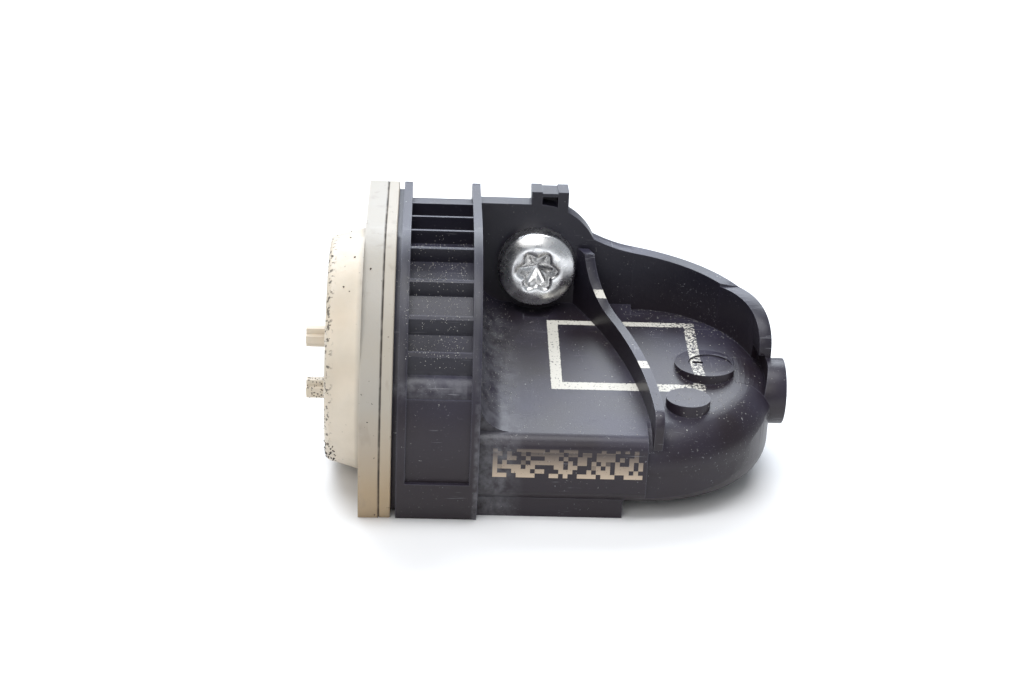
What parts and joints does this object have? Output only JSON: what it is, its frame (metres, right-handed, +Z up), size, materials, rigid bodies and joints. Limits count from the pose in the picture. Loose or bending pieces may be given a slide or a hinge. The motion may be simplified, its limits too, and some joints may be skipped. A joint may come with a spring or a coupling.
{
  "type": "tyre pressure sensor",
  "caption": "Small wheel sensor: black housing with a bowed ribbed collar and a round toe, closed by a domed cell cover and clamped to a valve foot by a screw.",
  "frame": {"origin": "on the axis of the valve screw where its thread starts, 0.1 mm behind the seat that the valve's foot is clamped to", "axes": "+X from the cell cover to the toe, along the longest side; +Y along the screw, out of the housing's back; +Z up from the side it rests on"},
  "size_m": [0.0369, 0.0283, 0.019],
  "materials": {
    "housing_plastic": "black moulded plastic, satin, dusty",
    "cover_plastic": "ivory moulded plastic, slightly see-through",
    "carrier_plastic": "grey beige moulded plastic, slightly see-through",
    "cell_can": "plain steel can",
    "tab_strip": "nickel strip",
    "board_laminate": "green solder mask",
    "chip_moulding": "black moulded package",
    "solder_metal": "tinned metal",
    "lid_metal": "plain sheet metal",
    "seal_rubber": "soft black rubber",
    "filter_membrane": "white porous membrane",
    "coil_ferrite": "dark grey sintered core",
    "wire_copper": "lacquered copper wire",
    "capacitor_moulding": "yellow moulded package",
    "capacitor_ceramic": "brown ceramic",
    "screw_zinc": "bright zinc plating"
  },
  "bodies": {
    "root": {"housing": "housing_plastic", "cover": "cover_plastic", "cell_carrier": "carrier_plastic", "coin_cell": "cell_can", "tab_positive": "tab_strip", "tab_negative": "tab_strip", "circuit_board": "board_laminate", "sensor_chip": "chip_moulding", "sensor_leads": "solder_metal", "sensor_lid": "lid_metal", "port_seal": "seal_rubber", "port_filter": "filter_membrane", "crystal": "lid_metal", "coil_core": "coil_ferrite", "coil_winding": "wire_copper", "aerial_loop": "wire_copper", "storage_capacitor": "capacitor_moulding", "chip_capacitors": "capacitor_ceramic", "chip_resistors": "chip_moulding", "chip_inductors": "coil_ferrite", "valve_screw": "screw_zinc"}
  },
  "joints": []
}
